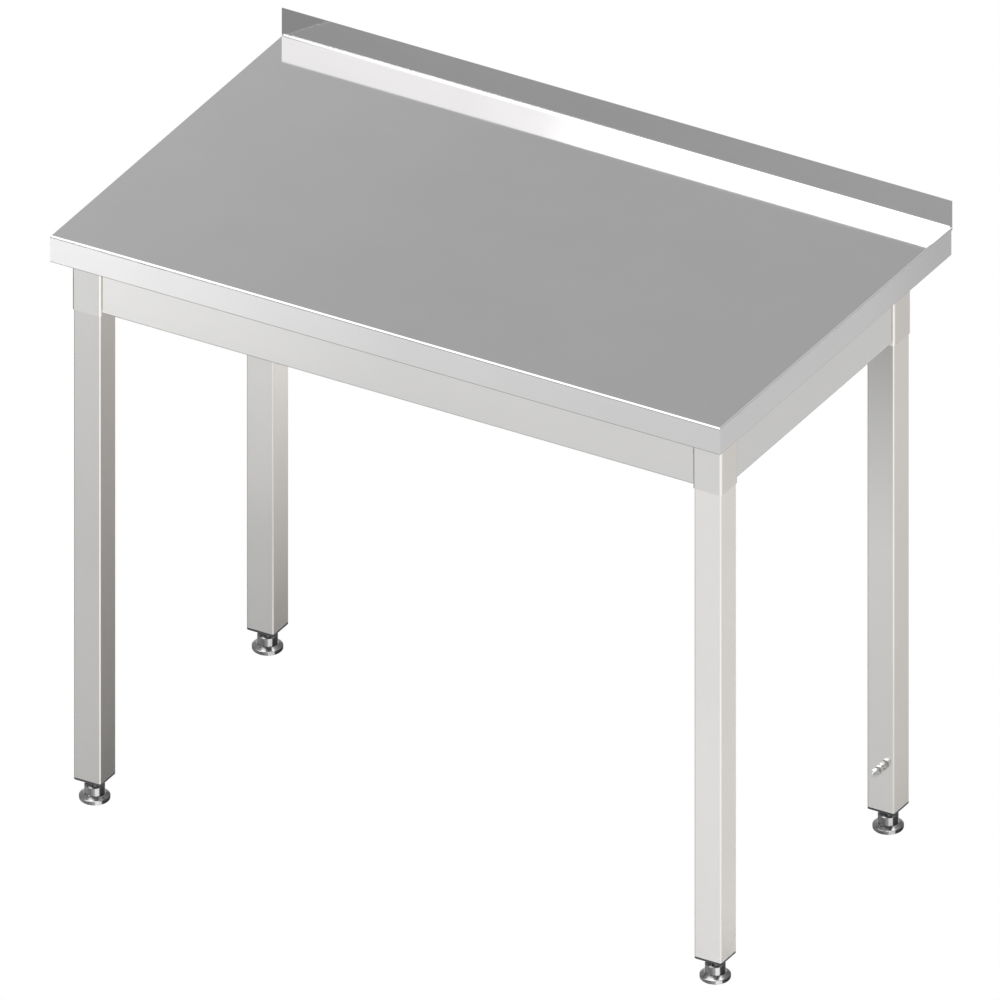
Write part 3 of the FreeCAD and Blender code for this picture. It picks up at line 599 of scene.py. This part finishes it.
def spindle_rows(lowest, highest):
    """Rings of points up the spindle: pin, snap ring groove, neck and cut thread."""
    middle = (lowest + highest) / 2
    angles = [math.tau * index / SPINDLE_SIDES for index in range(SPINDLE_SIDES)]
    rows = [(rise, [radius] * SPINDLE_SIDES) for rise, radius in SPINDLE_PROFILE]
    start = SPINDLE_PROFILE[-1][0]
    tip = highest.z - lowest.z
    steps = round((tip - start) / THREAD_PITCH * THREAD_ROWS)
    for step in range(steps + 1):
        rise = start + (tip - start) * step / steps
        full = min(SPINDLE_RADIUS, SPINDLE_RADIUS - SPINDLE_CHAMFER + tip - rise)
        fade = min((rise - start) / THREAD_PITCH, 1.0)
        turns = [rise / THREAD_PITCH - angle / math.tau for angle in angles]
        radii = [min(full, SPINDLE_RADIUS - THREAD_DEPTH * fade * thread_depth(turn)) for turn in turns]
        rows.append((rise, radii))
    return [[(middle.x + radius * math.cos(angle), middle.y + radius * math.sin(angle), lowest.z + rise)
             for radius, angle in zip(radii, angles)] for rise, radii in rows]


def bead_rows(x, y, low, high):
    """Rings of points up a weld bead, with a ripple for each dip of the rod."""
    steps = round((high - low) / BEAD_STEP)
    rows = []
    for step in range(steps + 1):
        ripple = 1.0 - BEAD_DIP + BEAD_DIP * math.cos(math.tau * step * BEAD_STEP / BEAD_RIPPLE)
        end = min(step, steps - step) / BEAD_END_ROWS
        radius = BEAD_RADIUS * ripple * min(BEAD_END_RADIUS + end * (1.0 - BEAD_END_RADIUS), 1.0)
        rows.append([(x + radius * math.cos(math.tau * index / BEAD_SIDES),
                      y + radius * math.sin(math.tau * index / BEAD_SIDES),
                      low + (high - low) * step / steps) for index in range(BEAD_SIDES)])
    return rows


def bead_places():
    """Name and inner corner of every apron end: x, y, lowest z, highest z."""
    places = []
    for side in SIDES:
        lowest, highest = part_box(side + "_apron")
        low, high = lowest.z + APRON_FLANGE, highest.z - APRON_FLANGE
        if side in ("front", "rear"):
            y = lowest.y + APRON_SHEET if side == "front" else highest.y - APRON_SHEET
            spots = [(lowest.x, y), (highest.x, y)]
        else:
            x = lowest.x + APRON_SHEET if side == "left" else highest.x - APRON_SHEET
            spots = [(x, lowest.y), (x, highest.y)]
        for end, (x, y) in zip(("a", "b"), spots):
            places.append((side + "_weld_" + end, x, y, low, high))
    return places


# ---------------------------------------------------------------- operators

class WORKTABLE_OT_worktop(bpy.types.Operator):
    """Finish the worktop sheet"""
    bl_idname = "worktable.worktop"
    bl_label = "Worktop"

    def execute(self, context):
        dress(["worktop_sheet"], worktop_steel(context.scene.worktable_steel))
        return {"FINISHED"}


class WORKTABLE_OT_underside(bpy.types.Operator):
    """Finish the core board, the stiffeners and what fixes them"""
    bl_idname = "worktable.underside"
    bl_label = "Underside"

    def execute(self, context):
        steel = context.scene.worktable_steel
        dress(["core_board"], laminated_board("board_laminate", context.scene.worktable_other))
        dress(["stiffener_" + side for side in HATS], galvanised("stiffener_zinc", steel.zinc))
        return {"FINISHED"}


class WORKTABLE_OT_frame(bpy.types.Operator):
    """Finish the aprons and corner sockets"""
    bl_idname = "worktable.frame"
    bl_label = "Frame"

    def execute(self, context):
        steel = context.scene.worktable_steel
        for side in SIDES:
            scales = ALONG_X if side in ("front", "rear") else ALONG_Y
            dress([side + "_apron"], apron_steel(side + "_apron_steel", steel, scales, APRON_PAINTED_LIGHT[side]))
        for corner in CORNERS:
            name = "corner_socket_" + corner
            sockets = tube_steel("socket_steel_" + corner, steel.frame, steel.frame_roughness,
                                 steel.grain_depth, height_span(name), SOCKET_PAINTED_LIGHT[corner])
            dress([name], sockets)
        bead = weld_steel("weld_steel", steel.weld)
        for name, x, y, low, high in bead_places():
            surface(name, bead_rows(x, y, low, high), bead, "table", "frame_steel")
        return {"FINISHED"}


class WORKTABLE_OT_legs(bpy.types.Operator):
    """Finish the leg tubes and their plugs"""
    bl_idname = "worktable.legs"
    bl_label = "Legs"

    def execute(self, context):
        steel = context.scene.worktable_steel
        for corner in CORNERS:
            name = "leg_" + corner
            tube = tube_steel("leg_steel_" + corner, steel.leg, steel.frame_roughness, steel.grain_depth,
                              height_span(name), LEG_PAINTED_LIGHT[corner])
            dress([name], tube)
        plug = moulded_plastic("plug_plastic", context.scene.worktable_other.plug)
        dress(["leg_plug_" + corner for corner in CORNERS], plug)
        return {"FINISHED"}


class WORKTABLE_OT_feet(bpy.types.Operator):
    """Finish the adjustable feet"""
    bl_idname = "worktable.feet"
    bl_label = "Feet"

    def execute(self, context):
        finish = polished_steel("polished_steel", context.scene.worktable_steel.foot)
        for part in ("foot_base_", "foot_spindle_", "foot_ring_"):
            dress([part + corner for corner in CORNERS], finish)
        for corner in CORNERS:
            node = "foot_spindle_" + corner
            rows = spindle_rows(*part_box(node))
            piece = surface("threaded_spindle_" + corner, rows, finish, "spindle_" + corner, "polished_steel")
            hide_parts(node)
        return {"FINISHED"}


class WORKTABLE_OT_fasteners(bpy.types.Operator):
    """Finish the screws, nuts and washers"""
    bl_idname = "worktable.fasteners"
    bl_label = "Fasteners"

    def execute(self, context):
        finish = fastener_steel("fastener_steel", context.scene.worktable_steel.fastener)
        dress(["stiffener_bolts", "stiffener_washers", "stiffener_nuts", "board_screws", "clamp_screws",
               "clamp_nuts", "plug_nuts", "bonding_stud", "bonding_nuts", "bonding_washers"], finish)
        return {"FINISHED"}


class WORKTABLE_OT_stage(bpy.types.Operator):
    """Add the floor, the light and the camera"""
    bl_idname = "worktable.stage"
    bl_label = "Stage"

    def execute(self, context):
        settings = context.scene.worktable_stage
        add_floor(settings)
        add_surround(context.scene, settings)
        for name, size, place in SOFTBOXES:
            add_softbox(name, getattr(settings, name), size, place)
        add_flag(settings)
        add_camera(context.scene, settings)
        context.scene.view_settings.view_transform = "Standard"
        return {"FINISHED"}


def add_floor(settings):
    half = settings.floor_size / 2
    mesh = bpy.data.meshes.new("floor")
    corners = [(-half, -half, 0), (half, -half, 0), (half, half, 0), (-half, half, 0)]
    mesh.from_pydata(corners, [], [(0, 1, 2, 3)])
    floor = bpy.data.objects.new("floor", mesh)
    bpy.context.scene.collection.objects.link(floor)
    material, shader = new_material("floor_paint")
    paint = shader.node("ShaderNodeBsdfDiffuse", {}, {"Color": rgba(settings.floor)})
    white = shader.node("ShaderNodeEmission", {}, {"Color": (1, 1, 1, 1), "Strength": 1.0})
    seen = shader.node("ShaderNodeLightPath", output="Is Camera Ray")
    above = shader.node("ShaderNodeMixShader", {}, {0: seen, 1: paint, 2: white})
    clear = shader.node("ShaderNodeBsdfTransparent")
    below = shader.node("ShaderNodeNewGeometry", output="Backfacing")
    surface = shader.node("ShaderNodeMixShader", {}, {0: below, 1: above, 2: clear})
    shader.node("ShaderNodeOutputMaterial", {}, {"Surface": surface})
    mesh.materials.append(material)


def add_flag(settings):
    """Grey card at the front left that only mirrors see; the end of the upstand faces it."""
    left, right, low, high = settings.flag_area
    mesh = bpy.data.meshes.new("flag")
    corners = [(left, low), (right, low), (right, high), (left, high)]
    mesh.from_pydata([(x, settings.flag_y, z) for x, z in corners], [], [(0, 1, 2, 3)])
    flag = bpy.data.objects.new("flag", mesh)
    bpy.context.scene.collection.objects.link(flag)
    flag.visible_camera = False
    flag.visible_diffuse = False
    flag.visible_shadow = False
    material, shader = new_material("flag_grey")
    level = settings.flag_level
    grey = shader.node("ShaderNodeEmission", {}, {"Color": (level, level, level, 1), "Strength": 1.0})
    shader.node("ShaderNodeOutputMaterial", {}, {"Surface": grey})
    mesh.materials.append(material)


def add_surround(scene, settings):
    """Pale surround with two grey cards that the worktop and its upstand mirror."""
    world = bpy.data.worlds.new("surround")
    world.use_nodes = True
    scene.world = world
    shader = Shader(world.node_tree)
    way = shader.node("ShaderNodeTexCoord", output="Generated")
    y, z = shader.split(way)[1:]
    toward_back = shader.node("ShaderNodeVectorMath", {"operation": "DOT_PRODUCT"},
                              {0: way, 1: BACK_WAY}, "Value")
    back = shader.fade(toward_back, *BACK_FADE)
    ahead = shader.fade(y, *FRONT_FADE)
    low = shader.fade(z, *LOW_FADE)
    toward_front = shader.node("ShaderNodeVectorMath", {"operation": "DOT_PRODUCT"},
                               {0: way, 1: GLOW_WAY}, "Value")
    strength = (settings.sky - back * (settings.sky - settings.back_card)
                - low * ahead * (settings.sky - settings.front_card)
                + shader.fade(toward_front, *GLOW_FADE) * settings.glow)
    glow = shader.node("ShaderNodeBackground", {}, {"Color": (1, 1, 1, 1), "Strength": strength})
    shader.node("ShaderNodeOutputWorld", {}, {"Surface": glow})


def add_softbox(name, power, size, place):
    """Square light that faces the floor."""
    light = bpy.data.lights.new(name, "AREA")
    light.shape = "SQUARE"
    light.size = size
    light.energy = power
    lamp = bpy.data.objects.new(name, light)
    lamp.location = place
    bpy.context.scene.collection.objects.link(lamp)


def add_camera(scene, settings):
    """Parallel view from the front right."""
    turn, lift = settings.azimuth, settings.elevation
    back = Vector((math.sin(turn) * math.cos(lift), -math.cos(turn) * math.cos(lift), math.sin(lift)))
    right = Vector((math.cos(turn), math.sin(turn), 0.0))
    up = back.cross(right)
    data = bpy.data.cameras.new("camera")
    data.type = "ORTHO"
    data.ortho_scale = settings.width
    camera = bpy.data.objects.new("camera", data)
    camera.location = right * settings.aim_right + up * settings.aim_up + back * settings.distance
    camera.rotation_euler = (-back).to_track_quat("-Z", "Y").to_euler()
    scene.collection.objects.link(camera)
    scene.camera = camera


class WORKTABLE_PT_panel(bpy.types.Panel):
    """Work table in the sidebar"""
    bl_idname = "WORKTABLE_PT_panel"
    bl_label = "Work table"
    bl_space_type = "VIEW_3D"
    bl_region_type = "UI"
    bl_category = "Work table"

    def draw(self, context):
        for step in STEPS:
            self.layout.operator(step.bl_idname)
        for group in (context.scene.worktable_steel, context.scene.worktable_other,
                      context.scene.worktable_stage):
            for name in group.bl_rna.properties.keys():
                if name not in ("rna_type", "name"):
                    self.layout.prop(group, name)


GROUPS = (SteelFinish, OtherFinish, StageSettings)
STEPS = (WORKTABLE_OT_worktop, WORKTABLE_OT_underside, WORKTABLE_OT_frame, WORKTABLE_OT_legs,
         WORKTABLE_OT_feet, WORKTABLE_OT_fasteners, WORKTABLE_OT_stage)


def register():
    for kind in (*GROUPS, *STEPS, WORKTABLE_PT_panel):
        bpy.utils.register_class(kind)
    bpy.types.Scene.worktable_steel = PointerProperty(type=SteelFinish)
    bpy.types.Scene.worktable_other = PointerProperty(type=OtherFinish)
    bpy.types.Scene.worktable_stage = PointerProperty(type=StageSettings)


def unregister():
    del bpy.types.Scene.worktable_stage
    del bpy.types.Scene.worktable_other
    del bpy.types.Scene.worktable_steel
    for kind in reversed((*GROUPS, *STEPS, WORKTABLE_PT_panel)):
        bpy.utils.unregister_class(kind)


def main():
    register()
    for step in STEPS:
        area, name = step.bl_idname.split(".")
        getattr(getattr(bpy.ops, area), name)()


if __name__ == "__main__":
    main()
